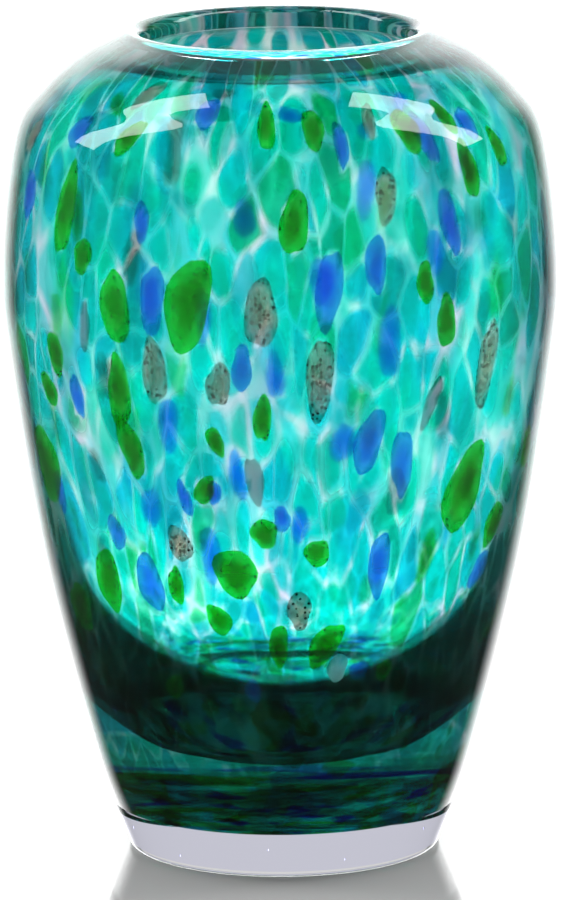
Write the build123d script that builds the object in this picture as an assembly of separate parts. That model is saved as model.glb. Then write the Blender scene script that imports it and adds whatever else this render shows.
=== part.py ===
"""Hand blown cased glass vase, built up from the gathers and the frit that a glassblower fuses together.

Frame: +Z up, origin at the centre of the ground underside, millimetres. Azimuths are in degrees from the
front of the vase (-Y), positive towards +X. The pieces touch face to face on shared curves, so each one is
a solid of its own and none of them overlap.
"""
from build123d import *
import math
import os

# Driving dimensions
HEIGHT = 250.0
FOOT_RADIUS = 47.2
FOOT_EDGE = 2.0
MAX_RADIUS = 84.1
MOUTH_RADIUS = 41.0
LIP_RADIUS = 3.6
CASING_WALL = 2.0
COLOUR_WALL = 1.0
COLOUR_BOTTOM = 14.5
FLOOR_HEIGHT = 34.0
PUNTY_RADIUS = 15.0
PUNTY_DEPTH = 0.8
PUNTY_BOW = 0.6

# The lip is a round bead: where its circle meets the shoulder, its inmost side and the cavity, in degrees.
LIP_OUT = 60.0
LIP_IN = 150.0
LIP_UNDER = 225.0


def lip_point(angle):
    """The point of the lip's circle at an angle, as (radius, height)."""
    turn = math.radians(angle)
    centre = (MOUTH_RADIUS + LIP_RADIUS, HEIGHT - LIP_RADIUS)
    return (centre[0] + LIP_RADIUS * math.cos(turn), centre[1] + LIP_RADIUS * math.sin(turn))


def lip_direction(angle):
    """The direction of travel round the lip's circle, against the clock, at an angle."""
    turn = math.radians(angle)
    return (-math.sin(turn), 0, math.cos(turn))


# Every curve is a list of (radius, height) points from the foot up.
# Outer face of the clear glass, from the ground edge to the lip.
OUTER = [
    (FOOT_RADIUS, FOOT_EDGE),
    (57.3, 30.0),
    (72.4, 90.0),
    (82.0, 150.0),
    (MAX_RADIUS, 180.0),
    (79.4, 219.0),
    (69.8, 234.0),
    (57.9, 243.8),
    lip_point(LIP_OUT),
]
# Outer face of the colour, under the clear casing.
COLOUR_OUTER = [
    (50.2, COLOUR_BOTTOM),
    (55.4, 30.6),
    (70.4, 90.4),
    (80.0, 150.2),
    (MAX_RADIUS - CASING_WALL, 180.0),
    (77.6, 218.1),
    (68.4, 232.6),
    (56.8, 242.1),
    (48.0, 246.4),
]
# Outer face of the first gather, under the colour.
GATHER_OUTER = [
    (49.4, COLOUR_BOTTOM + COLOUR_WALL),
    (54.4, 30.9),
    (69.4, 90.6),
    (79.0, 150.3),
    (MAX_RADIUS - CASING_WALL - COLOUR_WALL, 180.0),
    (76.7, 217.7),
    (67.7, 231.9),
    (56.3, 241.2),
    (47.6, 245.5),
]
# The blown cavity, from the centre of its floor to the inside of the lip.
CAVITY = [
    (0.0, FLOOR_HEIGHT),
    (30.0, 42.0),
    (56.0, 71.0),
    (69.3, 108.0),
    (76.8, 145.0),
    (79.6, 180.0),
    (75.2, 215.5),
    (66.6, 231.0),
    (55.6, 239.6),
    lip_point(LIP_UNDER),
]

# Accent chips: azimuth, height, length, width, tilt of the top towards +X. Hand placed on the front.
GREEN_FRONT = [
    (-19, 182, 30, 13, 8),
    (-36, 180, 22, 10, 0),
    (-36, 155, 22, 8, 0),
    (-34, 134, 18, 8, -15),
    (-51, 205, 28, 8, 5),
    (-54, 161, 14, 7, 0),
    (-64, 125, 26, 13, -8),
    (-46, 92, 20, 10, -8),
    (-60, 82, 15, 12, -10),
    (-14, 139, 9, 5, -20),
    (-4, 146, 15, 5, 5),
    (-11, 98, 15, 13, 0),
    (3, 204, 20, 8, 5),
    (-3, 231, 17, 5, 0),
    (31, 228, 15, 8, 0),
    (45, 216, 17, 7, -5),
    (36, 174, 15, 7, 0),
    (45, 122, 28, 14, 12),
    (57, 106, 14, 8, 15),
    (-1, 76, 13, 6, 0),
    (11, 77, 16, 8, 25),
]
COBALT_FRONT = [
    (-27, 183, 20, 8, 0),
    (-52, 226, 10, 8, 15),
    (-66, 206, 14, 8, 5),
    (-18, 234, 11, 7, 0),
    (10, 186, 24, 8, 5),
    (-8, 163, 14, 6, 0),
    (14, 225, 16, 4, 0),
    (38, 201, 22, 6, -12),
    (20, 190, 16, 7, 0),
    (19, 139, 22, 8, 12),
    (27, 130, 21, 7, 0),
    (23, 100, 20, 7, 0),
    (-22, 122, 11, 4, -15),
    (-48, 148, 14, 5, -12),
    (-33, 94, 18, 9, -15),
    (0, 116, 8, 5, 0),
]
AVENTURINE_FRONT = [
    (-4, 178, 22, 9, 0),
    (8, 160, 26, 8, 0),
    (-27, 160, 20, 8, -5),
    (-13, 157, 14, 7, 5),
    (23, 211, 16, 7, 5),
    (22, 231, 13, 4, 5),
    (-37, 237, 12, 6, 30),
    (48, 160, 26, 8, 5),
    (-70, 222, 12, 7, 20),
    (-24, 107, 12, 7, -10),
]
OPAL_FRONT = [
    (-6, 129, 16, 5, -8),
    (33, 148, 18, 4, 20),
    (-44, 172, 15, 4, 5),
    (14, 68, 9, 6, 0),
]
# The chips round the back follow a steady spiral: how many of each colour, and their middle size.
BACK_START = 85.0
BACK_SWEEP = 190.0
GOLDEN_RATIO = (math.sqrt(5) - 1) / 2
BACK_LOW = 60.0
BACK_HIGH = 232.0
BACK_ROWS = 44
BACK_LENGTH = 17.0
BACK_WIDTH = 7.0
BACK_LENGTH_SPREAD = 4.0
BACK_WIDTH_SPREAD = 1.0
BACK_TILT = 9.0
BACK_TILT_PACE = 3.0
BACK_ORDER = ("green", "cobalt", "green", "aventurine", "cobalt", "green", "cobalt", "opal")
CUTTER_REACH = 4.0


def wall_at(height):
    """The colour's outer radius at a height, and the slope of its wall from the level, in radians."""
    for (low_r, low_z), (high_r, high_z) in zip(COLOUR_OUTER, COLOUR_OUTER[1:]):
        if low_z <= height <= high_z:
            share = (height - low_z) / (high_z - low_z)
            return low_r + share * (high_r - low_r), math.atan2(high_z - low_z, high_r - low_r)
    raise ValueError(f"no wall at height {height}")


def at(radius, height):
    """A point of the half section."""
    return (radius, 0, height)


def ring(*edges):
    """The solid of revolution whose half section is bounded by these edges."""
    return revolve(make_face(edges), Axis.Z)


def chip_cutter(chip):
    """An oval prism through the wall, square to it, where a chip sits."""
    azimuth, height, length, width, tilt = chip
    radius, slope = wall_at(height)
    turn = math.radians(azimuth)
    place = Vector(radius * math.sin(turn), -radius * math.cos(turn), height)
    outward = Vector(math.sin(turn) * math.sin(slope), -math.cos(turn) * math.sin(slope), -math.cos(slope))
    sideways = Vector(math.cos(turn), math.sin(turn), 0)
    wall = Plane(origin=place, x_dir=sideways, z_dir=outward)
    oval = wall * Rot(0, 0, -tilt) * Ellipse(width / 2, length / 2)
    return extrude(oval, CUTTER_REACH, both=True)


def back_chips():
    """The chips round the back, dealt out in turn to green, cobalt, aventurine and opal."""
    dealt = {"green": [], "cobalt": [], "aventurine": [], "opal": []}
    for row in range(BACK_ROWS):
        azimuth = BACK_START + BACK_SWEEP * ((row * GOLDEN_RATIO) % 1)
        height = BACK_LOW + (row + 0.5) / BACK_ROWS * (BACK_HIGH - BACK_LOW)
        length = BACK_LENGTH + BACK_LENGTH_SPREAD * math.sin(row)
        width = BACK_WIDTH + BACK_WIDTH_SPREAD * math.cos(row)
        tilt = BACK_TILT * math.sin(BACK_TILT_PACE * row)
        dealt[BACK_ORDER[row % len(BACK_ORDER)]].append((azimuth, height, length, width, tilt))
    return dealt


def write(name, solids):
    """Writes one node's STEP file from its solids."""
    node = Compound(label=name, children=list(solids)) if len(solids) > 1 else solids[0]
    export_step(node, os.path.join("parts", name + ".step"))
    print(name, len(solids), round(sum(s.volume for s in solids)), "mm3")


# Curves shared by the pieces on both sides of them
outer_curve = Spline(*[at(*p) for p in OUTER])
colour_outer_curve = Spline(*[at(*p) for p in COLOUR_OUTER])
gather_outer_curve = Spline(*[at(*p) for p in GATHER_OUTER])
cavity_start = (1, 0, 0)
cavity_end = tuple(-c for c in lip_direction(LIP_UNDER))
cavity_curve = Spline(*[at(*p) for p in CAVITY], tangents=[cavity_start, cavity_end])
lip_curve = ThreePointArc(at(*OUTER[-1]), at(*lip_point(LIP_IN)), at(*CAVITY[-1]))
lip_seam = Line(at(*CAVITY[-1]), at(*GATHER_OUTER[-1]))
colour_top = Line(at(*GATHER_OUTER[-1]), at(*COLOUR_OUTER[-1]))
colour_underside = Line(at(*COLOUR_OUTER[0]), at(0, COLOUR_BOTTOM))
gather_underside = Line(at(*GATHER_OUTER[0]), at(0, COLOUR_BOTTOM + COLOUR_WALL))

# The first gather: the blown bubble, thin at the wall and solid below the cavity
first_gather = ring(
    gather_outer_curve,
    lip_seam,
    cavity_curve,
    Line(at(*CAVITY[0]), at(0, COLOUR_BOTTOM + COLOUR_WALL)),
    gather_underside,
)

# The whole coat of frit, before the chips of other colours are let into it
colour_coat = ring(
    colour_outer_curve,
    colour_top,
    gather_outer_curve,
    gather_underside,
    Line(at(0, COLOUR_BOTTOM + COLOUR_WALL), at(0, COLOUR_BOTTOM)),
    colour_underside,
)

# Half way round the foot's edge, measured in from its corner
foot_edge_middle = FOOT_EDGE * (1 - math.cos(math.radians(45)))

# The clear glass outside the colour, with the ground base and the polished hollow of the punty mark
clear_glass = ring(
    outer_curve,
    lip_curve,
    lip_seam,
    colour_top,
    colour_outer_curve,
    colour_underside,
    Line(at(0, COLOUR_BOTTOM), at(0, PUNTY_DEPTH)),
    ThreePointArc(at(0, PUNTY_DEPTH), at(PUNTY_RADIUS / 2, PUNTY_BOW), at(PUNTY_RADIUS, 0)),
    Line(at(PUNTY_RADIUS, 0), at(FOOT_RADIUS - FOOT_EDGE, 0)),
    ThreePointArc(
        at(FOOT_RADIUS - FOOT_EDGE, 0),
        at(FOOT_RADIUS - foot_edge_middle, foot_edge_middle),
        at(FOOT_RADIUS, FOOT_EDGE),
    ),
)
foot_top = Plane.XY.offset(COLOUR_BOTTOM)
clear_foot = split(clear_glass, bisect_by=foot_top, keep=Keep.BOTTOM)
clear_casing = split(clear_glass, bisect_by=foot_top, keep=Keep.TOP)

# The chips: each colour's ovals are cut out of the coat, and what is left is the turquoise skin
chips = back_chips()
chips["green"] += GREEN_FRONT
chips["cobalt"] += COBALT_FRONT
chips["aventurine"] += AVENTURINE_FRONT
chips["opal"] += OPAL_FRONT
turquoise_skin = colour_coat
taken = []
for colour, spots in chips.items():
    cutters = [chip_cutter(spot) for spot in spots]
    pieces = [s for cutter in cutters for s in (colour_coat & cutter).solids()]
    turquoise_skin = turquoise_skin - cutters
    taken.append((colour + "_chips", pieces))

os.makedirs("parts", exist_ok=True)
write("first_gather", first_gather.solids())
write("turquoise_skin", turquoise_skin.solids())
write("clear_casing", clear_casing.solids())
write("clear_foot", clear_foot.solids())
for name, pieces in taken:
    write(name, pieces)
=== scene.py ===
"""The looks of a hand blown cased glass vase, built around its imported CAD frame.

The vase is made as a glassblower makes it: a first gather of teal glass is rolled in crushed coloured glass
(frit) and larger chips, cased in clear crystal, blown out, and set on a thick clear foot. Light only bends
where glass meets air, so every piece has two kinds of face: its air faces, which are glass, and its fused
faces, where one glass runs into the next and light goes straight on.

Sizes are in millimetres in the classes and in metres in the meshes.
"""
import logging
import math
import random
from dataclasses import dataclass, field
from enum import Enum
from functools import cached_property
from typing import Any, Callable, Iterable, Sequence

import bmesh
import bpy
import numpy as np
from mathutils import Matrix, Vector


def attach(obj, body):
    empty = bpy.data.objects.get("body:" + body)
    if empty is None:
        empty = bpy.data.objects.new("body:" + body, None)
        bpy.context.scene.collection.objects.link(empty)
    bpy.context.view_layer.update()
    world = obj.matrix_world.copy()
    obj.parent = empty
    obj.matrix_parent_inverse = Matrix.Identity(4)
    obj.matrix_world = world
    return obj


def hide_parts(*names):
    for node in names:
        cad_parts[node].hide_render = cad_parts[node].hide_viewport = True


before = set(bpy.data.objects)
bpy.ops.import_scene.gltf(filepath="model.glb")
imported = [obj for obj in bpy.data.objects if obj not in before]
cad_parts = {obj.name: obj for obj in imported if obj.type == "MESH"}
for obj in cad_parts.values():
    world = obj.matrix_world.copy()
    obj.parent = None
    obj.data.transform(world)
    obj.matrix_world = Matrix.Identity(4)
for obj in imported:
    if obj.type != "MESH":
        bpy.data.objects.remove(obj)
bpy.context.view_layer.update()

LOG = logging.getLogger("vase")
MM = 0.001
FULL_TURN = 2 * math.pi
SHARP_EDGE = 35
WELD = 1e-6
Place = tuple[float, float]
Tree = bpy.types.NodeTree
Source = bpy.types.Node | bpy.types.NodeSocket


class Slot(Enum):
    """The kinds of face a glass piece has, by material slot.

    BODY is the gather's absorbing body, and the foot's ground edge.
    """

    AIR = 0
    FUSED = 1
    BODY = 2


class Chip(Enum):
    """The colours of accent chip, by CAD node and by the record's slot."""

    GREEN = ("green_chips", "green_frit")
    COBALT = ("cobalt_chips", "cobalt_frit")
    AVENTURINE = ("aventurine_chips", "aventurine_frit")
    OPAL = ("opal_chips", "opal_frit")


# ------------------------------------------------------------------------------------------- small tools


def linear(code: str) -> tuple[float, float, float, float]:
    """Turns an sRGB hex colour to a linear one.

    Args:
        code: the colour as "#RRGGBB".

    Returns:
        Red, green, blue and an alpha of 1.
    """
    parts = [int(code[i : i + 2], 16) / 255 for i in (1, 3, 5)]
    red, green, blue = (p / 12.92 if p <= 0.04045 else ((p + 0.055) / 1.055) ** 2.4 for p in parts)
    return (red, green, blue, 1.0)


def ease(value: float, low: float, high: float) -> float:
    """A smooth step from 0 at low to 1 at high."""
    share = min(max((value - low) / (high - low), 0.0), 1.0)
    return share * share * (3 - 2 * share)


def add(tree: Tree, kind: str, sockets: dict | None = None, **options: Any) -> bpy.types.Node:
    """Adds one shader node with its options, its values and its links.

    Args:
        tree: the node tree it goes in.
        kind: the node's type name, without its ShaderNode.
        sockets: for each input's name or number, a value to set, or a socket to link from, or a node, which
            gives its first output.
        **options: the node's own properties.

    Returns:
        The node.
    """
    made = tree.nodes.new(f"ShaderNode{kind}")
    for name, value in options.items():
        setattr(made, name, value)
    for name, value in (sockets or {}).items():
        if isinstance(value, bpy.types.Node):
            value = value.outputs[0]
        if isinstance(value, bpy.types.NodeSocket):
            tree.links.new(value, made.inputs[name])
        else:
            made.inputs[name].default_value = value
    return made


def in_order(*values: Any) -> dict[int, Any]:
    """Numbers values for a node's first inputs, in their order."""
    return dict(enumerate(values))


def ramp(node: bpy.types.Node, stops: Sequence[tuple[float, str]], interpolation: str = "LINEAR") -> None:
    """Sets a colour ramp's stops.

    Args:
        node: the ramp node.
        stops: each stop's position and sRGB hex colour, in order.
        interpolation: how it goes from stop to stop.
    """
    scale = node.color_ramp
    scale.interpolation = interpolation
    while len(scale.elements) < len(stops):
        scale.elements.new(1.0)
    for element, (position, code) in zip(scale.elements, stops):
        element.position = position
        element.color = linear(code)


def milky_glass(tree: Tree, colour: Source, milk: Source | float, front_share: float) -> None:
    """Ends a material as clear coloured glass that is partly milky.

    Args:
        tree: the material's tree.
        colour: the glass's colour.
        milk: how much of the light scatters rather than going straight on.
        front_share: how much of that comes back to the side it came from.
    """
    straight = add(tree, "BsdfTransparent", {0: colour})
    back = add(tree, "BsdfTranslucent", {0: colour})
    front = add(tree, "BsdfDiffuse", {0: colour})
    milky = add(tree, "MixShader", {0: front_share, 1: back, 2: front})
    both = add(tree, "MixShader", {0: milk, 1: straight, 2: milky})
    add(tree, "OutputMaterial", {"Surface": both})


def new_material(name: str) -> bpy.types.Material:
    """An empty node material."""
    made = bpy.data.materials.new(name)
    made.use_nodes = True
    made.node_tree.nodes.clear()
    return made


def finish_mesh(
    name: str, work: bmesh.types.BMesh, materials: Iterable[bpy.types.Material]
) -> bpy.types.Object:
    """Merges, orients and smooths a mesh and makes an object of it.

    Args:
        name: the piece's name.
        work: the mesh, which is freed.
        materials: its material slots in order.

    Returns:
        The object, at the origin.
    """
    bmesh.ops.remove_doubles(work, verts=work.verts, dist=WELD)
    bmesh.ops.recalc_face_normals(work, faces=work.faces)
    for face in work.faces:
        face.smooth = True
    for edge in work.edges:
        if edge.is_manifold and edge.calc_face_angle(0) > math.radians(SHARP_EDGE):
            edge.smooth = False
    mesh = bpy.data.meshes.new(name)
    work.to_mesh(mesh)
    work.free()
    for material in materials:
        mesh.materials.append(material)
    made = bpy.data.objects.new(name, mesh)
    bpy.context.collection.objects.link(made)
    return made


def spin_line(work: bmesh.types.BMesh, line: Sequence[Vector], slot: Slot, steps: int) -> None:
    """Spins a half-section line about the vase's axis.

    Args:
        work: the mesh it is added to.
        line: (radius, height) points in metres.
        slot: the material slot of its faces.
        steps: how many flats go round.
    """
    verts = [work.verts.new((p.x, 0.0, p.y)) for p in line]
    edges = [work.edges.new(pair) for pair in zip(verts, verts[1:])]
    before = set(work.faces)
    bmesh.ops.spin(
        work,
        geom=verts + edges,
        axis=(0, 0, 1),
        cent=(0, 0, 0),
        angle=FULL_TURN,
        steps=steps,
        use_merge=True,
    )
    for face in work.faces:
        if face not in before:
            face.material_index = slot.value


# ------------------------------------------------------------------------------------------- the shape


@dataclass(frozen=True)
class Curve:
    """A smooth half-section line, in metres, with its length along it."""

    points: tuple[Vector, ...]

    @classmethod
    def through(cls, places: Sequence[Place], steps: int = 12) -> "Curve":
        """Draws a Catmull-Rom line through places.

        Args:
            places: (radius, height) places in millimetres.
            steps: how many points each span gets.

        Returns:
            The line.
        """
        knots = [Vector(p) for p in places]
        knots = [2 * knots[0] - knots[1], *knots, 2 * knots[-1] - knots[-2]]
        made = []
        for a, b, c, d in zip(knots, knots[1:], knots[2:], knots[3:]):
            for step in range(steps):
                t = step / steps
                curved = (2 * a - 5 * b + 4 * c - d) * t * t
                point = 2 * b + (c - a) * t + curved + (3 * b - a - 3 * c + d) * t**3
                made.append(point / 2 * MM)
        made.append(knots[-2] * MM)
        return cls(tuple(Vector((max(p.x, 0.0), p.y)) for p in made))

    @classmethod
    def arc(cls, centre: Place, radius: float, start: float, end: float, steps: int = 10) -> "Curve":
        """Draws an arc.

        Args:
            centre: its centre in millimetres.
            radius: its radius in millimetres.
            start: the angle it starts at, in degrees.
            end: the angle it ends at, in degrees.
            steps: how many pieces it has.

        Returns:
            The line.
        """
        turns = [math.radians(start + (end - start) * i / steps) for i in range(steps + 1)]
        middle = Vector(centre)
        return cls(tuple((middle + radius * Vector((math.cos(t), math.sin(t)))) * MM for t in turns))

    @classmethod
    def straight(cls, start: Place, end: Place, steps: int = 1) -> "Curve":
        """A straight line in equal pieces."""
        a, b = Vector(start) * MM, Vector(end) * MM
        return cls(tuple(a.lerp(b, i / steps) for i in range(steps + 1)))

    def __add__(self, other: "Curve") -> "Curve":
        """The two lines end to end."""
        skip = 1 if (self.points[-1] - other.points[0]).length < 1e-7 else 0
        return Curve(self.points + other.points[skip:])

    def turned_round(self) -> "Curve":
        """The line from its other end."""
        return Curve(self.points[::-1])

    def shifted(self, depth: float) -> "Curve":
        """The line moved out of the wall by a depth in millimetres."""
        moved = []
        for along in self.lengths:
            point, outward = self.at_length(float(along))
            moved.append(point + outward * (depth * MM))
        return Curve(tuple(Vector((max(p.x, 0.0), p.y)) for p in (moved[0] * Vector((0, 1)), *moved[1:])))

    def cut(self, height: float, above: bool) -> "Curve":
        """The part of a rising line above or below a height in millimetres."""
        level = height * MM
        for i, (low, high) in enumerate(zip(self.points, self.points[1:])):
            if low.y <= level <= high.y:
                edge = low.lerp(high, (level - low.y) / (high.y - low.y))
                return Curve((edge, *self.points[i + 1 :])) if above else Curve((*self.points[: i + 1], edge))
        raise ValueError(f"the line doesn't cross {height} mm")

    @cached_property
    def radii(self) -> np.ndarray:
        """Each point's radius."""
        return np.array([p.x for p in self.points])

    @cached_property
    def heights(self) -> np.ndarray:
        """Each point's height."""
        return np.array([p.y for p in self.points])

    @cached_property
    def lengths(self) -> np.ndarray:
        """How far along the line each point is, in metres."""
        return np.concatenate([[0.0], np.cumsum(np.hypot(np.diff(self.radii), np.diff(self.heights)))])

    def length_at(self, height: float) -> float:
        """How far along a rising line a height is, both in metres."""
        return float(np.interp(height, self.heights, self.lengths))

    def at_length(self, along: float) -> tuple[Vector, Vector]:
        """The point at a length along the line and the direction out of the wall there.

        Args:
            along: the length in metres.

        Returns:
            The (radius, height) point and the unit (radial, upward) direction out of the glass.
        """
        radius = np.interp([along - MM, along, along + MM], self.lengths, self.radii)
        height = np.interp([along - MM, along, along + MM], self.lengths, self.heights)
        run = Vector((radius[2] - radius[0], height[2] - height[0])).normalized()
        return Vector((radius[1], height[1])), Vector((run.y, -run.x))


@dataclass(frozen=True)
class VaseShape:
    """The vase's sizes in millimetres, as the CAD has them, and the lines they give."""

    height: float = 250.0
    foot_radius: float = 47.2
    foot_edge: float = 2.0
    mouth_radius: float = 41.0
    lip_radius: float = 3.6
    lip_out: float = 60.0
    lip_under: float = 225.0
    seam_height: float = 14.5
    punty_radius: float = 15.0
    punty_depth: float = 0.8
    fusing_gap: float = 0.04
    steps_round: int = 240
    outer_places: tuple[Place, ...] = (
        (47.2, 2.0),
        (57.3, 30.0),
        (72.4, 90.0),
        (82.0, 150.0),
        (84.1, 180.0),
        (79.4, 219.0),
        (69.8, 234.0),
        (57.9, 243.8),
    )
    colour_places: tuple[Place, ...] = (
        (50.2, 14.5),
        (55.4, 30.6),
        (70.4, 90.4),
        (80.0, 150.2),
        (82.1, 180.0),
        (77.6, 218.1),
        (68.4, 232.6),
        (56.8, 242.1),
        (48.0, 246.4),
    )
    gather_places: tuple[Place, ...] = (
        (49.4, 15.5),
        (54.4, 30.9),
        (69.4, 90.6),
        (79.0, 150.3),
        (81.1, 180.0),
        (76.7, 217.7),
        (67.7, 231.9),
        (56.3, 241.2),
        (47.6, 245.5),
    )
    cavity_places: tuple[Place, ...] = (
        (0.0, 34.0),
        (15.0, 35.9),
        (30.0, 42.0),
        (56.0, 71.0),
        (69.3, 108.0),
        (76.8, 145.0),
        (79.6, 180.0),
        (75.2, 215.5),
        (66.6, 231.0),
        (55.6, 239.6),
    )

    def lip_centre(self) -> Place:
        """The centre of the lip's round bead."""
        return (self.mouth_radius + self.lip_radius, self.height - self.lip_radius)

    def lip_point(self, angle: float) -> Place:
        """A place on the lip's bead at an angle in degrees."""
        turn = math.radians(angle)
        middle = self.lip_centre()
        return (middle[0] + self.lip_radius * math.cos(turn), middle[1] + self.lip_radius * math.sin(turn))

    def outside(self) -> Curve:
        """The outer air face from the ground edge to the top of the lip."""
        return Curve.through([*self.outer_places, self.lip_point(self.lip_out)])

    def lip(self) -> Curve:
        """The lip's bead, from the shoulder over the top to the cavity."""
        return Curve.arc(self.lip_centre(), self.lip_radius, self.lip_out, self.lip_under, steps=16)

    def cavity(self) -> Curve:
        """The blown cavity, from the middle of its floor to the lip."""
        return Curve.through([*self.cavity_places, self.lip_point(self.lip_under)], steps=9)

    def layer(self, depth: float, steps: int = 18) -> Curve:
        """A line within the colour coat.

        Args:
            depth: 0 at the casing, 1 at the gather.
            steps: how many points each span up the wall gets.

        Returns:
            The line from the axis along the underside and up the wall.
        """
        mixed = [
            (a[0] + depth * (b[0] - a[0]), a[1] + depth * (b[1] - a[1]))
            for a, b in zip(self.colour_places, self.gather_places)
        ]
        return Curve.straight((0.0, mixed[0][1]), mixed[0], steps=20) + Curve.through(mixed, steps=steps)

    def wall(self) -> Curve:
        """The middle of the colour coat up the wall alone."""
        mixed = [((a[0] + b[0]) / 2, (a[1] + b[1]) / 2) for a, b in zip(self.colour_places, self.gather_places)]
        return Curve.through(mixed, steps=18)


# ------------------------------------------------------------------------------------------- finishes


@dataclass(frozen=True)
class FirePolishedCrystal:
    """Clear crystal left as the flame leaves it: glossy, with the faint roll of a hand-worked wall.

    With upright at 0 the wall shades as if it stood straight up, so the thick foot stays clear to its edge.
    """

    name: str = "fire_polished_crystal"
    tint: str = "#FBFAFF"
    ior: float = 1.5
    roll_mm: float = 45.0
    roll_height: float = 0.10
    roughness: float = 0.0
    upright: float = 1.0

    def make(self) -> bpy.types.Material:
        """Builds the material."""
        made = new_material(self.name)
        tree = made.node_tree
        facing = add(tree, "NewGeometry").outputs["Normal"]
        facing = add(tree, "VectorMath", {0: facing, 1: (1, 1, self.upright)}, operation="MULTIPLY")
        facing = add(tree, "VectorMath", {0: facing}, operation="NORMALIZE")
        spot = add(tree, "TexCoord")
        roll = add(
            tree,
            "TexNoise",
            {"Vector": spot.outputs["Object"], "Scale": 1 / (self.roll_mm * MM), "Detail": 1.0},
        )
        bump = add(
            tree,
            "Bump",
            {"Height": roll, "Strength": self.roll_height, "Distance": MM, "Normal": facing},
        )
        glass = add(
            tree,
            "BsdfPrincipled",
            {
                "Base Color": linear(self.tint),
                "Transmission Weight": 1.0,
                "Roughness": self.roughness,
                "IOR": self.ior,
                "Normal": bump.outputs["Normal"],
            },
        )
        add(tree, "OutputMaterial", {"Surface": glass})
        return made


@dataclass(frozen=True)
class FusedCrystal:
    """Where hot glass has run into glass: no surface is left, so light goes straight through."""

    name: str = "fused_crystal_seam"

    def make(self) -> bpy.types.Material:
        """Builds the material."""
        made = new_material(self.name)
        tree = made.node_tree
        clear = add(tree, "BsdfTransparent", {"Color": (1, 1, 1, 1)})
        add(tree, "OutputMaterial", {"Surface": clear})
        return made


@dataclass(frozen=True)
class TealGather:
    """Teal-black gather glass: clear in a thin wall, near black through the thick of the base."""

    air_name: str = "blown_cavity_face"
    body_name: str = "teal_gather_body"
    depth_colour: str = "#0A6B78"
    density: float = 8.0
    ior: float = 1.5
    roughness: float = 0.08

    def make(self) -> list[bpy.types.Material]:
        """Builds the cavity face, and the body whose colour deepens with the way light goes through it."""
        air = new_material(self.air_name)
        glass = add(
            air.node_tree,
            "BsdfPrincipled",
            {
                "Base Color": (1, 1, 1, 1),
                "Transmission Weight": 1.0,
                "Roughness": self.roughness,
                "IOR": self.ior,
            },
        )
        add(air.node_tree, "OutputMaterial", {"Surface": glass})
        body = new_material(self.body_name)
        tree = body.node_tree
        clear = add(tree, "BsdfTransparent", {"Color": (1, 1, 1, 1)})
        depth = add(tree, "VolumeAbsorption", {"Color": linear(self.depth_colour), "Density": self.density})
        add(tree, "OutputMaterial", {"Surface": clear, "Volume": depth})
        return [air, body]


@dataclass(frozen=True)
class GrainLayer:
    """One scatter of frit grains: spacing, smallest and largest reach, edge, shift and tints by chance."""

    spacing_mm: float
    smallest: float
    largest: float
    softness: float
    shift: tuple[float, float, float]
    tints: tuple[tuple[float, str], ...]


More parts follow.
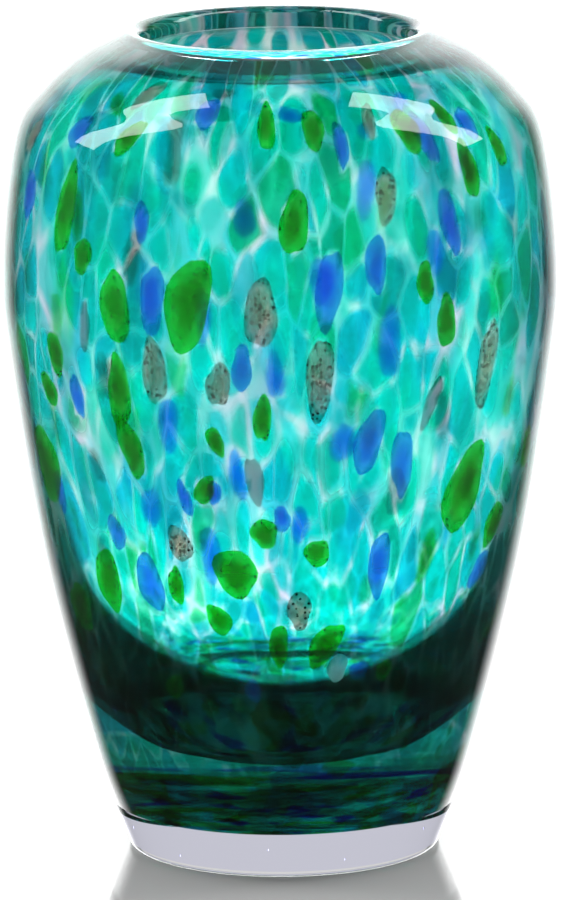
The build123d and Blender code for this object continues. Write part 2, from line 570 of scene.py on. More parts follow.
@dataclass(frozen=True)
class TurquoiseFrit:
    """Crushed turquoise glass, melted in and pulled long by blowing.

    Grains lie over each other, so the eye sees pale, full and deep turquoise, with milky seams between them.
    """

    name: str = "blown_turquoise_frit"
    layers: tuple[GrainLayer, ...] = (
        GrainLayer(
            7.8,
            0.46,
            0.72,
            0.12,
            (0.0, 0.0, 0.0),
            (
                (0.0, "#00DACA"),
                (0.25, "#00E6DC"),
                (0.45, "#0CDADC"),
                (0.62, "#00D2AE"),
                (0.78, "#20C8E6"),
                (0.90, "#00BEAC"),
                (0.97, "#30CE80"),
            ),
        ),
        GrainLayer(
            9.8,
            0.46,
            0.74,
            0.16,
            (0.37, 0.71, 0.13),
            ((0.0, "#74EADC"), (0.4, "#8CF0E6"), (0.7, "#62E4E4"), (1.0, "#A2F0EC")),
        ),
    )
    wander_mm: float = 9.0
    wander_over_mm: float = 24.0
    curl_mm: float = 2.4
    curl_over_mm: float = 7.0
    seam_colour: str = "#DCF4EE"
    lilac: str = "#E8D8E4"
    haze_mm: float = 22.0
    haze_range: Place = (0.45, 0.62)
    milk_grain: float = 0.16
    milk_seam: float = 0.36
    touching: float = 0.36
    drift_mm: float = 30.0
    drift_range: Place = (0.36, 0.64)
    drift_swing: Place = (-0.10, 0.24)
    front_share: float = 0.15
    crowded_depth: float = 1.2
    coat_heights_mm: Place = (120.0, 200.0)
    coat_depths: Place = (0.82, 1.04)
    base_patch_mm: Place = (15.0, 3.2)
    base_patch_range: Place = (0.40, 0.58)
    stray_range: Place = (0.56, 0.64)
    base_cobalt: str = "#5A6CFF"
    base_green: str = "#58E070"

    def warped(self, tree: Tree) -> Source:
        """Adds the pattern's place on the wall, swayed as hot glass flows."""
        spot = add(tree, "Attribute", attribute_name="frit_place").outputs["Vector"]
        for over, by in ((self.wander_over_mm, self.wander_mm), (self.curl_over_mm, self.curl_mm)):
            sway = add(tree, "TexNoise", {"Vector": spot, "Scale": 1 / (over * MM), "Detail": 0.0})
            centred = add(
                tree, "VectorMath", {0: sway.outputs["Color"], 1: (0.5, 0.5, 0.5)}, operation="SUBTRACT"
            )
            scaled = add(tree, "VectorMath", {0: centred, "Scale": by * MM}, operation="SCALE")
            spot = add(tree, "VectorMath", {0: spot, 1: scaled})
        return spot

    def scatter(self, tree: Tree, layer: GrainLayer, spot: Source, crowd: Source) -> tuple[Source, Source]:
        """Adds one layer of grains.

        Args:
            tree: the material's tree.
            layer: the layer.
            spot: the pattern's place.
            crowd: how crowded the grains lie, 0 to 1.

        Returns:
            Where its grains are, 0 to 1, and their tint.
        """
        moved = add(tree, "VectorMath", {0: spot, 1: layer.shift})
        per_metre = 1 / (layer.spacing_mm * MM)
        grain = add(tree, "TexVoronoi", {"Vector": moved, "Scale": per_metre}, feature="F1")
        edge = add(tree, "TexVoronoi", {"Vector": moved, "Scale": per_metre}, feature="DISTANCE_TO_EDGE")
        chance = add(tree, "SeparateColor", {0: grain.outputs["Color"]})
        tint = add(tree, "ValToRGB", {0: chance})
        ramp(tint, layer.tints)
        size = add(tree, "MapRange", {0: chance.outputs[1], 3: layer.smallest, 4: layer.largest})
        size = add(tree, "Math", {0: crowd, 1: size})
        inside = add(tree, "Math", {0: size, 1: grain.outputs["Distance"]}, operation="SUBTRACT")
        round_mask = add(
            tree,
            "MapRange",
            {0: inside, 1: -layer.softness, 2: layer.softness},
            interpolation_type="SMOOTHSTEP",
        )
        rim = add(
            tree,
            "MapRange",
            {0: edge.outputs["Distance"], 1: 0.0, 2: layer.softness, 3: self.touching},
            interpolation_type="SMOOTHSTEP",
        )
        rim = add(tree, "Math", {0: rim, 1: crowd}, operation="MAXIMUM")
        mask = add(tree, "Math", {0: round_mask, 1: rim}, operation="MULTIPLY")
        return mask, tint

    def crowded(self, tree: Tree, colour: Source, crowd: Source) -> tuple[Source, Source]:
        """Adds the base's frit, several grains deep and squashed flat, with thin bright slivers between.

        Args:
            tree: the material's tree.
            colour: the coat's own colour.
            crowd: where the frit was left crowded, 0 to 1.

        Returns:
            The colour with stray cobalt and green in it, and how many layers deep it lies.
        """
        wide, tall = self.base_patch_mm
        spot = add(tree, "TexCoord").outputs["Object"]
        squashed = add(
            tree,
            "VectorMath",
            {0: spot, 1: (1 / (wide * MM), 1 / (wide * MM), 1 / (tall * MM))},
            operation="MULTIPLY",
        )
        patch = add(tree, "TexNoise", {"Vector": squashed, "Scale": 1.0, "Detail": 2.0})
        depth = add(
            tree,
            "MapRange",
            in_order(patch, *self.base_patch_range, 0.0, self.crowded_depth),
            interpolation_type="SMOOTHSTEP",
        )
        stray = add(tree, "SeparateColor", {0: patch.outputs["Color"]})
        for channel, code in ((1, self.base_cobalt), (2, self.base_green)):
            share = add(
                tree,
                "MapRange",
                in_order(stray.outputs[channel], *self.stray_range),
                interpolation_type="SMOOTHSTEP",
            )
            share = add(tree, "Math", {0: share, 1: crowd}, operation="MULTIPLY")
            colour = add(
                tree,
                "Mix",
                {0: share, 6: colour, 7: linear(code)},
                data_type="RGBA",
                blend_type="MULTIPLY",
            ).outputs[2]
        height = add(tree, "SeparateXYZ", {0: spot}).outputs["Z"]
        coat = add(
            tree,
            "MapRange",
            in_order(height, *(h * MM for h in self.coat_heights_mm), *self.coat_depths),
            interpolation_type="SMOOTHSTEP",
        )
        deeper = add(tree, "Math", {0: crowd, 1: depth, 2: coat}, operation="MULTIPLY_ADD")
        return colour, deeper

    def make(self) -> bpy.types.Material:
        """Builds the material."""
        made = new_material(self.name)
        tree = made.node_tree
        spot = self.warped(tree)
        crowd = add(tree, "Attribute", attribute_name="crowding").outputs["Fac"]
        pocket = add(tree, "Attribute", attribute_name="pocket").outputs["Fac"]
        haze = add(tree, "TexNoise", {"Vector": spot, "Scale": 1 / (self.haze_mm * MM)})
        blush = add(tree, "MapRange", in_order(haze, *self.haze_range), interpolation_type="SMOOTHSTEP")
        seam = add(
            tree,
            "Mix",
            {0: blush, 6: linear(self.seam_colour), 7: linear(self.lilac)},
            data_type="RGBA",
        )
        # Some patches lie so thick that the grains close up, others stay open and pale.
        drift = add(tree, "TexNoise", {"Vector": spot, "Scale": 1 / (self.drift_mm * MM), "Detail": 1.0})
        drift = add(tree, "MapRange", in_order(drift, *self.drift_range, *self.drift_swing))
        thick = add(tree, "Math", {0: crowd, 1: drift})
        colour, cover = seam.outputs[2], None
        open_share = add(tree, "Math", {0: 1.0, 1: pocket}, operation="SUBTRACT", use_clamp=True)
        for layer in self.layers:
            mask, tint = self.scatter(tree, layer, spot, thick)
            mask = add(tree, "Math", {0: mask, 1: open_share}, operation="MULTIPLY")
            colour = add(
                tree,
                "Mix",
                {0: mask, 6: colour, 7: tint},
                data_type="RGBA",
                blend_type="MULTIPLY",
            ).outputs[2]
            cover = mask if cover is None else cover
        colour, deeper = self.crowded(tree, colour, crowd)
        deep = add(tree, "Gamma", {0: colour, 1: deeper})
        milk = add(tree, "MapRange", {0: cover, 3: self.milk_seam, 4: self.milk_grain})
        thin = add(tree, "Attribute", attribute_name="thinness").outputs["Fac"]
        milk = add(tree, "Math", {0: milk, 1: thin}, operation="MULTIPLY")
        milky_glass(tree, deep, milk, self.front_share)
        return made


@dataclass(frozen=True)
class MeltedChip:
    """A larger chip of coloured glass, flattened as it melts in: bright at its thin rim, deep in the middle."""

    name: str
    rim: str
    core: str
    milk: float
    core_start: float = 0.05
    core_end: float = 0.75
    cloud_mm: float = 4.0
    cloud_range: Place = (0.3, 0.7)
    cloud_swing: Place = (-0.14, 0.14)
    front_share: float = 0.2
    speck: str = "#000000"
    speck_mm: float = 0.7
    speck_share: float = 0.0
    speck_range: Place = (0.28, 0.42)

    def make(self) -> bpy.types.Material:
        """Builds the material."""
        made = new_material(self.name)
        tree = made.node_tree
        spot = add(tree, "TexCoord").outputs["Object"]
        inward = add(tree, "Attribute", attribute_name="inward").outputs["Fac"]
        dose = add(tree, "Attribute", attribute_name="dose").outputs["Fac"]
        cloud = add(tree, "TexNoise", {"Vector": spot, "Scale": 1 / (self.cloud_mm * MM), "Detail": 3.0})
        uneven = add(tree, "MapRange", in_order(cloud, *self.cloud_range, *self.cloud_swing))
        level = add(tree, "Math", {0: inward, 1: uneven})
        depth = add(
            tree,
            "MapRange",
            {0: level, 1: self.core_start, 2: self.core_end},
            interpolation_type="SMOOTHSTEP",
        )
        depth = add(tree, "Math", {0: depth, 1: dose}, operation="MULTIPLY")
        colour = add(
            tree,
            "Mix",
            {0: depth, 6: linear(self.rim), 7: linear(self.core)},
            data_type="RGBA",
        ).outputs[2]
        if self.speck_share:
            dust = add(
                tree, "TexVoronoi", {"Vector": spot, "Scale": 1 / (self.speck_mm * MM)}, feature="F1"
            )
            pick = add(tree, "SeparateColor", {0: dust.outputs["Color"]})
            chosen = add(tree, "Math", {0: pick, 1: self.speck_share}, operation="LESS_THAN")
            dot = add(tree, "MapRange", in_order(dust.outputs["Distance"], *self.speck_range, 1.0, 0.0))
            shown = add(tree, "Math", {0: chosen, 1: dot}, operation="MULTIPLY")
            colour = add(
                tree,
                "Mix",
                {0: shown, 6: colour, 7: linear(self.speck)},
                data_type="RGBA",
            ).outputs[2]
        milky_glass(tree, colour, self.milk, self.front_share)
        return made


CHIP_FINISHES = {
    Chip.GREEN: MeltedChip(
        "melted_green_chip",
        "#2CEE8C",
        "#06B80C",
        0.08,
        speck="#021204",
        speck_mm=1.0,
        speck_share=0.16,
    ),
    Chip.COBALT: MeltedChip("melted_cobalt_chip", "#86D6FF", "#44AEFA", 0.10),
    Chip.AVENTURINE: MeltedChip(
        "melted_copper_aventurine",
        "#FFF6EE",
        "#F8E2D2",
        0.42,
        speck="#3E2C22",
        speck_mm=1.25,
        speck_share=0.46,
    ),
    Chip.OPAL: MeltedChip("melted_opal_chip", "#FAF6F8", "#EEE2EA", 0.5),
}


@dataclass(frozen=True)
class PolishedAcrylic:
    """Polished white acrylic sheet: a soft white body under a clean mirror gloss."""

    name: str = "polished_white_acrylic"
    body: str = "#BDBDBD"
    roughness: float = 0.05

    def make(self) -> bpy.types.Material:
        """Builds the material."""
        made = new_material(self.name)
        tree = made.node_tree
        sheet = add(
            tree,
            "BsdfPrincipled",
            {"Base Color": linear(self.body), "Roughness": self.roughness, "IOR": 1.49},
        )
        add(tree, "OutputMaterial", {"Surface": sheet})
        return made


# ------------------------------------------------------------------------------------------- the pieces


@dataclass
class GlassPiece:
    """One piece of the vase: what CAD node it stands for and the record's slot it belongs to."""

    shape: VaseShape
    node: str
    slot: str

    def hand_over(self, made: bpy.types.Object) -> bpy.types.Object:
        """Ties a finished piece to the frame and reports it.

        Args:
            made: the finished object.

        Returns:
            The same object.
        """
        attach(made, "root")
        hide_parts(self.node)
        LOG.info("%s stands for %s, %d faces", made.name, self.node, len(made.data.polygons))
        return made


@dataclass
class FirstGather(GlassPiece):
    """The blown bubble of teal glass: thin up the wall, solid under the cavity."""

    node: str = "first_gather"
    slot: str = "teal_gather_glass"
    finish: TealGather = field(default_factory=TealGather)
    skin: float = 0.12

    def build(self, fused: bpy.types.Material) -> bpy.types.Object:
        """Spins the cavity's own thin skin and the absorbing body round it.

        Args:
            fused: the finish where the skin meets the body.

        Returns:
            The piece.
        """
        work = bmesh.new()
        steps = self.shape.steps_round
        cavity = self.shape.cavity()
        skin = cavity.shifted(self.skin)
        spin_line(work, cavity.points, Slot.AIR, steps)
        spin_line(work, (skin + Curve((skin.points[-1], cavity.points[-1]))).points, Slot.FUSED, steps)
        outer = self.shape.layer(1.0, steps=10)
        inside = cavity.shifted(2 * self.skin).turned_round()
        body = outer + Curve((outer.points[-1], inside.points[0])) + inside
        spin_line(work, body.points, Slot.BODY, steps)
        air, absorbing = self.finish.make()
        return self.hand_over(finish_mesh("blown_first_gather", work, [air, fused, absorbing]))


@dataclass
class ClearCasing(GlassPiece):
    """The clear casing over the colour, up to and round the lip."""

    node: str = "clear_casing"
    slot: str = "clear_crystal"
    finish: FirePolishedCrystal = field(default_factory=FirePolishedCrystal)

    def build(self, fused: bpy.types.Material) -> bpy.types.Object:
        """Spins the outer face and lip, and the fused face inside them, into one closed body."""
        work = bmesh.new()
        shape = self.shape
        outside = shape.outside().cut(shape.seam_height, above=True) + shape.lip()
        spin_line(work, outside.points, Slot.AIR, shape.steps_round)
        wall = Curve.through(shape.colour_places)
        seam = Curve((outside.points[0], wall.points[0]))
        gather_top = Curve.straight(shape.gather_places[-1], shape.lip_point(shape.lip_under))
        inside = seam + wall + Curve((wall.points[-1], gather_top.points[0])) + gather_top
        spin_line(work, inside.points, Slot.FUSED, shape.steps_round)
        return self.hand_over(finish_mesh("crystal_casing", work, [self.finish.make(), fused]))


@dataclass
class ClearFoot(GlassPiece):
    """The thick clear foot, ground flat under, with a polished hollow where the punty was cracked off."""

    node: str = "clear_foot"
    slot: str = "clear_crystal"
    finish: FirePolishedCrystal = field(
        default_factory=lambda: FirePolishedCrystal(
            "polished_crystal_foot", "#DCDCFA", roll_mm=30.0, upright=0.0
        )
    )
    edge_finish: FirePolishedCrystal = field(default_factory=lambda: FirePolishedCrystal("ground_crystal_edge"))
    seeds: tuple[tuple[float, float, float, float], ...] = (
        (-72.0, 44.0, 8.0, 0.5),
        (-44.0, 43.0, 3.5, 0.35),
        (-8.0, 30.0, 6.0, 0.3),
        (24.0, 42.0, 4.0, 0.3),
        (61.0, 45.0, 9.0, 0.4),
        (120.0, 38.0, 6.0, 0.4),
        (165.0, 33.0, 8.0, 0.35),
        (212.0, 41.0, 5.0, 0.45),
        (250.0, 26.0, 7.5, 0.3),
    )

    def build(self, fused: bpy.types.Material) -> bpy.types.Object:
        """Spins the foot, clear through its flat faces, and leaves seed bubbles in it."""
        work = bmesh.new()
        shape = self.shape
        flat = shape.foot_radius - shape.foot_edge
        bow = (shape.punty_radius**2 + shape.punty_depth**2) / (2 * shape.punty_depth)
        reach = math.degrees(math.asin(shape.punty_radius / bow))
        hollow = Curve.arc((0.0, shape.punty_depth - bow), bow, 90.0, 90.0 - reach)
        ground = Curve.straight((shape.punty_radius, 0.0), (flat, 0.0), steps=6)
        edge = Curve.arc((flat, shape.foot_edge), shape.foot_edge, -90.0, 0.0, steps=6)
        side = shape.outside().cut(shape.seam_height, above=False)
        spin_line(work, (hollow + ground).points, Slot.FUSED, shape.steps_round)
        spin_line(work, edge.points, Slot.BODY, shape.steps_round)
        spin_line(work, side.points, Slot.AIR, shape.steps_round)
        rim = side.points[-1]
        top = Curve.straight((0.0, shape.seam_height), (rim.x / MM, rim.y / MM), steps=8)
        spin_line(work, top.points, Slot.FUSED, shape.steps_round)
        made = finish_mesh("crystal_foot", work, [self.finish.make(), fused, self.edge_finish.make()])
        self.blow_seeds(made)
        return self.hand_over(made)

    def blow_seeds(self, made: bpy.types.Object) -> None:
        """Adds the seeds, tiny air bubbles, whose faces look into the bubble.

        Args:
            made: the foot.
        """
        work = bmesh.new()
        work.from_mesh(made.data)
        for azimuth, out, up, size in self.seeds:
            turn = math.radians(azimuth)
            where = Vector((out * math.sin(turn), -out * math.cos(turn), up)) * MM
            ball = bmesh.ops.create_icosphere(
                work, subdivisions=2, radius=size * MM, matrix=Matrix.Translation(where)
            )
            faces = list({f for v in ball["verts"] for f in v.link_faces})
            bmesh.ops.reverse_faces(work, faces=faces)
            for face in faces:
                face.smooth = True
        work.to_mesh(made.data)
        work.free()


@dataclass(frozen=True)
class ChipPlace:
    """One accent chip: its azimuth, height, length, width and the tilt of its top towards +X."""

    azimuth: float
    height: float
    length: float
    width: float
    tilt: float

    def local(self, shape: VaseShape, wall: Curve, azimuth: np.ndarray, along: np.ndarray) -> np.ndarray:
        """How far from the chip's middle places on the wall are, in chip radii.

        Args:
            shape: the vase's sizes; not used.
            wall: the colour's line up the wall.
            azimuth: the places' azimuths in radians.
            along: their lengths up the wall in metres.

        Returns:
            Distances, 1 at the chip's rim.
        """
        middle = wall.length_at(self.height * MM)
        radius = wall.at_length(middle)[0].x
        turn = azimuth - math.radians(self.azimuth)
        sideways = (turn + math.pi) % FULL_TURN - math.pi
        across, up = sideways * radius, along - middle
        lean = math.radians(self.tilt)
        a = across * math.cos(lean) - up * math.sin(lean)
        b = across * math.sin(lean) + up * math.cos(lean)
        return np.hypot(a / (self.width / 2 * MM), b / (self.length / 2 * MM))


@dataclass(frozen=True)
class ChipLayout:
    """Where the accent chips lie: listed one by one on the front, in a steady spiral round the back."""

    green: tuple[tuple[float, ...], ...] = (
        (-19, 182, 30, 13, 8),
        (-36, 180, 22, 10, 0),
        (-36, 155, 22, 8, 0),
        (-34, 134, 18, 8, -15),
        (-51, 205, 28, 8, 5),
        (-54, 161, 14, 7, 0),
        (-64, 125, 26, 13, -8),
        (-46, 92, 20, 10, -8),
        (-60, 82, 15, 12, -10),
        (-14, 139, 9, 5, -20),
        (-4, 146, 15, 5, 5),
        (-11, 98, 15, 13, 0),
        (3, 204, 20, 8, 5),
        (-3, 231, 17, 5, 0),
        (31, 228, 15, 8, 0),
        (45, 216, 17, 7, -5),
        (36, 174, 15, 7, 0),
        (45, 122, 28, 14, 12),
        (57, 106, 14, 8, 15),
        (-1, 76, 13, 6, 0),
        (11, 77, 16, 8, 25),
        (-58, 149, 11, 7, -20),
        (-17, 125, 9, 6, 30),
        (-4, 111, 9, 8, 0),
        (8, 106, 9, 7, 0),
        (-26, 95, 12, 5, -5),
        (8, 230, 15, 6, 0),
        (-36, 227, 14, 6, 30),
        (43, 231, 13, 5, -15),
        (56, 220, 12, 6, -20),
        (-45, 191, 11, 7, 0),
        (31, 186, 12, 6, 0),
        (69, 127, 12, 7, 0),
        (-16, 85, 10, 7, -20),
        (27, 66, 7, 5, 0),
        (-30, 62, 8, 6, 10),
    )
    cobalt: tuple[tuple[float, ...], ...] = (
        (-27, 183, 20, 8, 0),
        (-52, 226, 10, 8, 15),
        (-66, 206, 14, 8, 5),
        (-18, 234, 11, 7, 0),
        (10, 186, 24, 8, 5),
        (-8, 163, 14, 6, 0),
        (14, 225, 16, 4, 0),
        (38, 201, 22, 6, -12),
        (20, 190, 16, 7, 0),
        (19, 139, 22, 8, 12),
        (27, 130, 21, 7, 0),
        (23, 100, 20, 7, 0),
        (-22, 122, 11, 4, -15),
        (-48, 148, 14, 5, -12),
        (-33, 94, 18, 9, -15),
        (0, 116, 8, 5, 0),
        (-30, 203, 12, 5, 0),
        (35, 226, 18, 6, -12),
        (49, 228, 12, 6, 0),
        (-15, 124, 8, 4, 0),
        (-41, 108, 11, 6, -20),
        (-60, 119, 13, 6, -10),
        (54, 93, 12, 7, 30),
        (20, 68, 6, 6, 0),
        (-8, 62, 7, 5, 0),
    )
    aventurine: tuple[tuple[float, ...], ...] = (
        (-4, 178, 22, 9, 0),
        (8, 160, 26, 8, 0),
        (-27, 160, 20, 8, -5),
        (-13, 157, 14, 7, 5),
        (23, 211, 16, 7, 5),
        (22, 231, 13, 4, 5),
        (-37, 237, 12, 6, 30),
        (48, 160, 26, 8, 5),
        (-70, 222, 12, 7, 20),
        (-24, 107, 12, 7, -10),
        (4, 86, 12, 7, 0),
    )
    opal: tuple[tuple[float, ...], ...] = (
        (-6, 129, 16, 5, -8),
        (33, 148, 18, 4, 20),
        (-44, 172, 15, 4, 5),
        (14, 68, 9, 6, 0),
    )
    back_start: float = 85.0
    back_sweep: float = 190.0
    back_low: float = 60.0
    back_high: float = 232.0
    back_rows: int = 44
    back_length: float = 17.0
    back_width: float = 7.0
    back_length_spread: float = 4.0
    back_tilt: float = 9.0
    back_order: tuple[Chip, ...] = (
        Chip.GREEN,
        Chip.COBALT,
        Chip.GREEN,
        Chip.AVENTURINE,
        Chip.COBALT,
        Chip.GREEN,
        Chip.COBALT,
        Chip.OPAL,
    )

    def places(self) -> dict[Chip, list[ChipPlace]]:
        """Every chip of each colour."""
        dealt = {
            Chip.GREEN: [ChipPlace(*row) for row in self.green],
            Chip.COBALT: [ChipPlace(*row) for row in self.cobalt],
            Chip.AVENTURINE: [ChipPlace(*row) for row in self.aventurine],
            Chip.OPAL: [ChipPlace(*row) for row in self.opal],
        }
        golden = (math.sqrt(5) - 1) / 2
        for row in range(self.back_rows):
            place = ChipPlace(
                self.back_start + self.back_sweep * ((row * golden) % 1),
                self.back_low + (row + 0.5) / self.back_rows * (self.back_high - self.back_low),
                self.back_length + self.back_length_spread * math.sin(row),
                self.back_width + math.cos(row),
                self.back_tilt * math.sin(3 * row),
            )
            dealt[self.back_order[row % len(self.back_order)]].append(place)
        return dealt


@dataclass
class ChipSet(GlassPiece):
    """All the accent chips of one colour, each a lens of melted glass let into the coat."""

    chip: Chip = Chip.GREEN
    thickness: float = 0.78
    rim_segments: int = 22
    rings: int = 8
    seed: int = 7
    taper: float = 0.24
    ripples: tuple[tuple[int, float], ...] = ((2, 0.08), (3, 0.075), (5, 0.045))

    def build(self, places: Sequence[ChipPlace]) -> bpy.types.Object:
        """Makes the lenses and bends them to the wall.

        Args:
            places: where they lie.

        Returns:
            The piece.
        """
        chance = random.Random(self.seed)
        work = bmesh.new()
        inward = work.verts.layers.float.new("inward")
        dose = work.verts.layers.float.new("dose")
        wall = self.shape.wall()
        for place in places:
            ball = bmesh.ops.create_uvsphere(
                work, u_segments=self.rim_segments, v_segments=self.rings, radius=1.0
            )
            outline = self.outline(chance)
            strength = chance.uniform(0.7, 1.0)
            for vert in ball["verts"]:
                share = math.hypot(vert.co.x, vert.co.y)
                vert[inward] = 1.0 - share
                vert[dose] = strength
                vert.co = self.bend(vert.co, place, wall, outline(math.atan2(vert.co.y, vert.co.x)))
        made = finish_mesh(f"melted_{self.node}", work, [CHIP_FINISHES[self.chip].make()])
        return self.hand_over(made)

    def outline(self, chance: random.Random) -> Callable[[float], float]:
        """An uneven rim for one chip.

        Args:
            chance: the seeded source of its unevenness.

        Returns:
            A function from the angle round the rim to how far out it is, about 1.
        """
        shifts = [chance.uniform(0, FULL_TURN) for _ in self.ripples]
        taper = chance.uniform(-self.taper, self.taper)

        def out(angle: float) -> float:
            """How far out the rim is at an angle."""
            waves = (size * math.sin(lobes * angle + by) for (lobes, size), by in zip(self.ripples, shifts))
            return 1 + sum(waves) + taper * math.sin(angle)

        return out

    def bend(self, local: Vector, place: ChipPlace, wall: Curve, out: float) -> Vector:
        """Moves a point of a unit ball to its place in a chip on the wall.

        Args:
            local: the point of the ball.
            place: the chip.
            wall: the colour's line up the wall.
            out: how far out the rim is on that side.

        Returns:
            The point in metres.
        """
        across = local.x * place.width / 2 * out * MM
        up = local.y * place.length / 2 * out * MM
        lean = math.radians(place.tilt)
        side = across * math.cos(lean) + up * math.sin(lean)
        rise = up * math.cos(lean) - across * math.sin(lean)
        middle = wall.length_at(place.height * MM)
        centre_radius = wall.at_length(middle)[0].x
        point, outward = wall.at_length(middle + rise)
        turn = math.radians(place.azimuth) + side / centre_radius
        point = point + outward * (local.z * self.thickness / 2 * MM)
        return Vector((point.x * math.sin(turn), -point.x * math.cos(turn), point.y))


@dataclass
class TurquoiseSkin(GlassPiece):
    """The coat of turquoise frit between the gather and the casing, with pockets where chips lie."""

    node: str = "turquoise_skin"
    slot: str = "turquoise_frit"
    finish: TurquoiseFrit = field(default_factory=TurquoiseFrit)
    pattern_radius: float = 76.0
    body_stretch: float = 2.6
    base_stretch: float = 1.0
    stretch_from: float = 22.0
    stretch_to: float = 95.0
    crowd_from: float = 36.0
    crowd_to: float = 25.0
    base_milk: float = 0.12
    milk_from: float = 60.0
    milk_to: float = 125.0
    pocket_rim: float = 0.98
    pocket_blend: float = 0.16
    steps_round: int = 288
    quick_steps: int = 144

    def build(self, places: Iterable[ChipPlace], fused: bpy.types.Material) -> bpy.types.Object:
        """Spins the coat, then works out the pattern's place, crowding and pockets on it.

        Args:
            places: the accent chips that lie in it.
            fused: the finish of its inner face.

        Returns:
            The piece.
        """
        work = bmesh.new()
        gap = self.shape.fusing_gap
        outer, inner = self.shape.layer(gap), self.shape.layer(1 - gap)
        steps = self.steps_round
        spin_line(work, outer.points, Slot.AIR, steps)
        spin_line(work, (inner + Curve((inner.points[-1], outer.points[-1]))).points, Slot.FUSED, steps)
        made = finish_mesh("frit_skin", work, [self.finish.make(), fused])
        self.lay_pattern(made, places)
        return self.hand_over(made)

    def lay_pattern(self, made: bpy.types.Object, places: Iterable[ChipPlace]) -> None:
        """Writes the attributes that the finish reads.

        Args:
            made: the coat.
            places: the accent chips.
        """
        wall = self.shape.wall()
        co = np.empty(len(made.data.vertices) * 3)
        made.data.vertices.foreach_get("co", co)
        co = co.reshape(-1, 3)
        radius = np.hypot(co[:, 0], co[:, 1])
        azimuth = np.arctan2(co[:, 0], -co[:, 1])
        heights, lengths = wall.heights, wall.lengths
        along = np.interp(co[:, 2], heights, lengths)
        edge = self.shape.gather_places[0][0] * MM
        on_base = (co[:, 2] < heights[0] + 0.6 * MM) & (radius < edge)

        # Blowing pulls the frit long up the wall; under the base it keeps its crushed shape.
        samples = np.linspace(0, lengths[-1], 400)
        at_height = np.interp(samples, lengths, heights) / MM
        pulled = np.array(
            [
                self.base_stretch
                + (self.body_stretch - self.base_stretch) * ease(z, self.stretch_from, self.stretch_to)
                for z in at_height
            ]
        )
        unrolled = np.concatenate([[0], np.cumsum((samples[1:] - samples[:-1]) / pulled[1:])])
        up = np.interp(along, samples, unrolled)
        reach = np.where(on_base, radius / edge, 1.0) * self.pattern_radius * MM
        up = np.where(on_base, 0.0, up)
        spot = np.stack([reach * np.sin(azimuth), -reach * np.cos(azimuth), up], axis=1)
        crowding = np.array([1 - ease(z / MM, self.crowd_to, self.crowd_from) for z in co[:, 2]])
        pocket = np.zeros(len(radius))
        for place in places:
            near = place.local(self.shape, wall, azimuth, along)
            pocket = np.maximum(pocket, np.clip((self.pocket_rim - near) / self.pocket_blend, 0, 1))
        pocket[on_base] = 0
        mesh = made.data
        mesh.attributes.new("frit_place", "FLOAT_VECTOR", "POINT").data.foreach_set("vector", spot.ravel())
        mesh.attributes.new("crowding", "FLOAT", "POINT").data.foreach_set("value", crowding)
        mesh.attributes.new("pocket", "FLOAT", "POINT").data.foreach_set("value", pocket)
        milky = np.array([ease(z / MM, self.milk_from, self.milk_to) for z in co[:, 2]])
        thinness = self.base_milk + (1 - self.base_milk) * milky
        mesh.attributes.new("thinness", "FLOAT", "POINT").data.foreach_set("value", thinness)


# ------------------------------------------------------------------------------------------- the studio


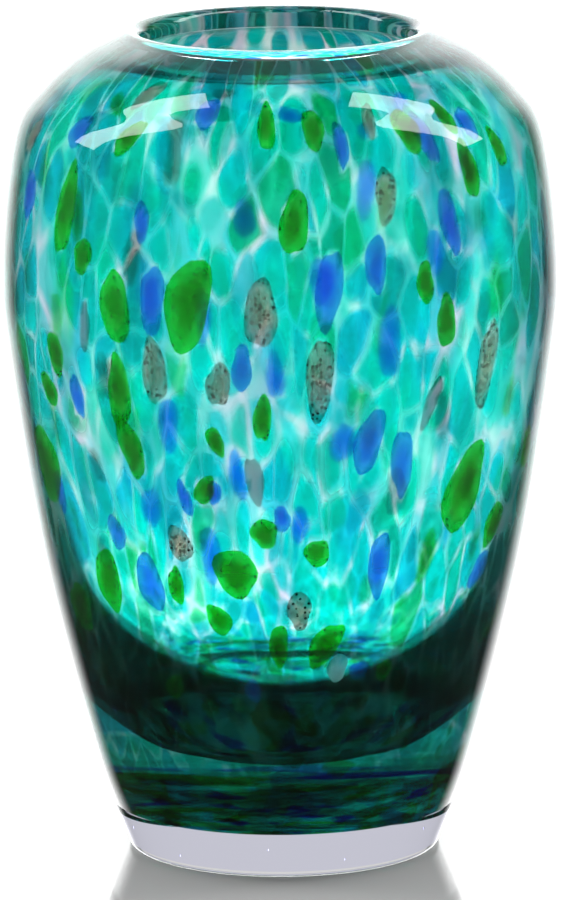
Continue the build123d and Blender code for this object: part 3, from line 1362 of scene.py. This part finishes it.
@dataclass
class Studio:
    """A pale acrylic table in soft white light, and the camera."""

    table_size: float = 12.0
    camera_distance: float = 2.5
    camera_elevation: float = 11.56
    aim_height: float = 0.125
    focal_in_heights: float = 8283 / 900
    sensor: float = 36.0
    pitch: float = -12.6 / 8283
    roll: float = -0.45
    backlight: float = 2.8
    ceiling: float = 0.12
    front: float = 0.02
    side_room: float = 0.04
    solid_room: float = 0.24
    trapped_colour: str = "#9CFAF4"
    thrown_back: float = 0.06
    scatter_room: float = 0.55
    dome: float = 0.9
    ceiling_heights: Place = (0.5, 0.78)
    wall_bearings: Place = (0.74, 0.99)
    back_bearings: Place = (-0.3, 0.3)
    softbox_size: Place = (0.34, 1.3)
    softbox_power: float = 9.5
    softbox_place: tuple[float, float, float] = (0.95, 0.12, 1.2)
    softbox_aim: float = 0.2
    table_gap: float = 0.05

    def build(self) -> None:
        """Sets up the table, the light and the camera."""
        self.lay_table()
        self.light_world()
        self.hang_softboxes()
        self.place_camera()
        scene = bpy.context.scene
        scene.view_settings.view_transform = "Standard"
        scene.cycles.max_bounces = 28
        scene.cycles.transmission_bounces = 24
        scene.cycles.transparent_max_bounces = 64
        scene.cycles.glossy_bounces = 12
        scene.cycles.diffuse_bounces = 4
        scene.cycles.sample_clamp_indirect = 12.0

    def lay_table(self) -> None:
        """Lays the table sheet just under the vase."""
        work = bmesh.new()
        bmesh.ops.create_grid(
            work,
            x_segments=8,
            y_segments=8,
            size=self.table_size / 2,
            matrix=Matrix.Translation((0, 0, -self.table_gap * MM)),
        )
        table = finish_mesh("table_sheet", work, [PolishedAcrylic().make()])
        for polygon in table.data.polygons:
            if polygon.normal.z < 0:
                table.data.flip_normals()
                break
        # Seen through the glass or in its gloss, the sheet would lay a grey veil over the dark base.
        table.visible_transmission = False
        table.visible_glossy = False

    def light_world(self) -> None:
        """Lights a white room with a dark ceiling.

        The glass sees the bright room through itself, brightest through the bubble. Light that is caught in
        the thick glass round it comes from the dark sides of the room, and the outer gloss sees only the
        bright wall behind, as on a table with the lamps turned away from the front.
        """
        world = bpy.data.worlds.new("white_room")
        bpy.context.scene.world = world
        world.use_nodes = True
        world.cycles.sampling_method = "NONE"
        tree = world.node_tree
        tree.nodes.clear()
        smooth = {"interpolation_type": "SMOOTHSTEP"}
        way = add(tree, "TexCoord").outputs["Generated"]
        height = add(tree, "SeparateXYZ", {0: way}).outputs["Z"]
        flat = add(tree, "VectorMath", {0: way, 1: (1, 1, 0)}, operation="MULTIPLY")
        flat = add(tree, "VectorMath", {0: flat}, operation="NORMALIZE")
        bearing = add(tree, "SeparateXYZ", {0: flat}).outputs["Y"]
        low = add(tree, "MapRange", in_order(height, *self.ceiling_heights, 1.0, self.ceiling), **smooth)
        wall = add(tree, "MapRange", in_order(bearing, *self.wall_bearings, self.front, 1.0), **smooth)
        behind = add(tree, "MapRange", in_order(bearing, *self.back_bearings, self.thrown_back, 1.0))

        ray = add(tree, "LightPath")
        within, past_bubble, mirrored, scattered = (
            add(tree, "Math", {0: ray.outputs[f"{kind} Depth"], 1: times - 0.5}, operation="GREATER_THAN")
            for kind, times in (("Transmission", 1), ("Transmission", 3), ("Glossy", 1), ("Diffuse", 1))
        )
        trapped = add(tree, "Math", {0: within, 1: mirrored}, operation="MULTIPLY")
        trapped = add(tree, "Math", {0: trapped, 1: past_bubble}, operation="SUBTRACT", use_clamp=True)

        softened = add(tree, "Mix", {0: scattered, 2: 1.0, 3: self.scatter_room})
        solid = add(tree, "Mix", {0: past_bubble, 2: self.solid_room, 3: softened})
        through = add(tree, "Math", {0: low, 1: solid}, operation="MULTIPLY")
        thrown = add(tree, "Mix", {0: mirrored, 2: 1.0, 3: behind})
        through = add(tree, "Math", {0: through, 1: thrown}, operation="MULTIPLY")
        in_wall = add(tree, "Mix", {0: trapped, 2: through, 3: self.side_room})
        seen_in_gloss = add(tree, "Math", {0: wall, 1: low}, operation="MULTIPLY")
        in_gloss = add(tree, "Mix", {0: mirrored, 2: low, 3: seen_in_gloss})
        room = add(tree, "Mix", {0: within, 2: in_gloss, 3: in_wall})
        # What the vase's milky glass and the table are lit by is even, so it takes the dome alone.
        scaled = add(tree, "Math", {0: room, 1: self.backlight}, operation="MULTIPLY")
        strength = add(tree, "Mix", {0: ray.outputs["Is Diffuse Ray"], 2: scaled, 3: self.dome})
        tint = {0: trapped, 6: linear("#FFFFFF"), 7: linear(self.trapped_colour)}
        cast = add(tree, "Mix", tint, data_type="RGBA").outputs[2]
        add(tree, "OutputWorld", {0: add(tree, "Background", {0: cast, 1: strength})})

    def hang_softboxes(self) -> None:
        """Stands a tall softbox leaning over the vase from each side."""
        out, back, up = self.softbox_place
        for side, bearing in (("left", -1.0), ("right", 1.0)):
            lamp = bpy.data.lights.new(f"softbox_{side}", "AREA")
            lamp.shape = "RECTANGLE"
            lamp.size, lamp.size_y = self.softbox_size
            lamp.energy = self.softbox_power
            box = bpy.data.objects.new(lamp.name, lamp)
            bpy.context.collection.objects.link(box)
            place = Vector((bearing * out, back, up))
            look = Vector((0, 0, self.softbox_aim)) - place
            box.matrix_world = Matrix.Translation(place) @ look.to_track_quat("-Z", "Y").to_matrix().to_4x4()
            box.visible_camera = False

    def place_camera(self) -> None:
        """Stands the camera in front of the vase, a little above it."""
        lens = bpy.data.cameras.new("camera")
        lens.sensor_width = self.sensor
        lens.lens = self.focal_in_heights * self.sensor
        lens.clip_start = 0.05
        lens.clip_end = 60.0
        camera = bpy.data.objects.new("camera", lens)
        bpy.context.collection.objects.link(camera)
        slope = math.radians(self.camera_elevation)
        aim = Vector((0, 0, self.aim_height))
        place = aim + self.camera_distance * Vector((0, -math.cos(slope), math.sin(slope)))
        look = (aim - place).to_track_quat("-Z", "Y").to_matrix().to_4x4()
        pitch = Matrix.Rotation(math.atan(self.pitch), 4, "X")
        roll = Matrix.Rotation(math.radians(self.roll), 4, "Z")
        camera.matrix_world = Matrix.Translation(place) @ look @ pitch @ roll
        bpy.context.scene.camera = camera


def main() -> None:
    """Builds the vase and its studio."""
    logging.basicConfig(level=logging.INFO, format="%(name)s: %(message)s")
    shape = VaseShape()
    layout = ChipLayout().places()
    fused = FusedCrystal().make()
    FirstGather(shape).build(fused)
    TurquoiseSkin(shape).build([p for rows in layout.values() for p in rows], fused)
    for number, (chip, places) in enumerate(layout.items()):
        ChipSet(shape, chip.value[0], chip.value[1], chip=chip, seed=number + 1).build(places)
    ClearCasing(shape).build(fused)
    ClearFoot(shape).build(fused)
    Studio().build()


if __name__ == "__main__":
    main()
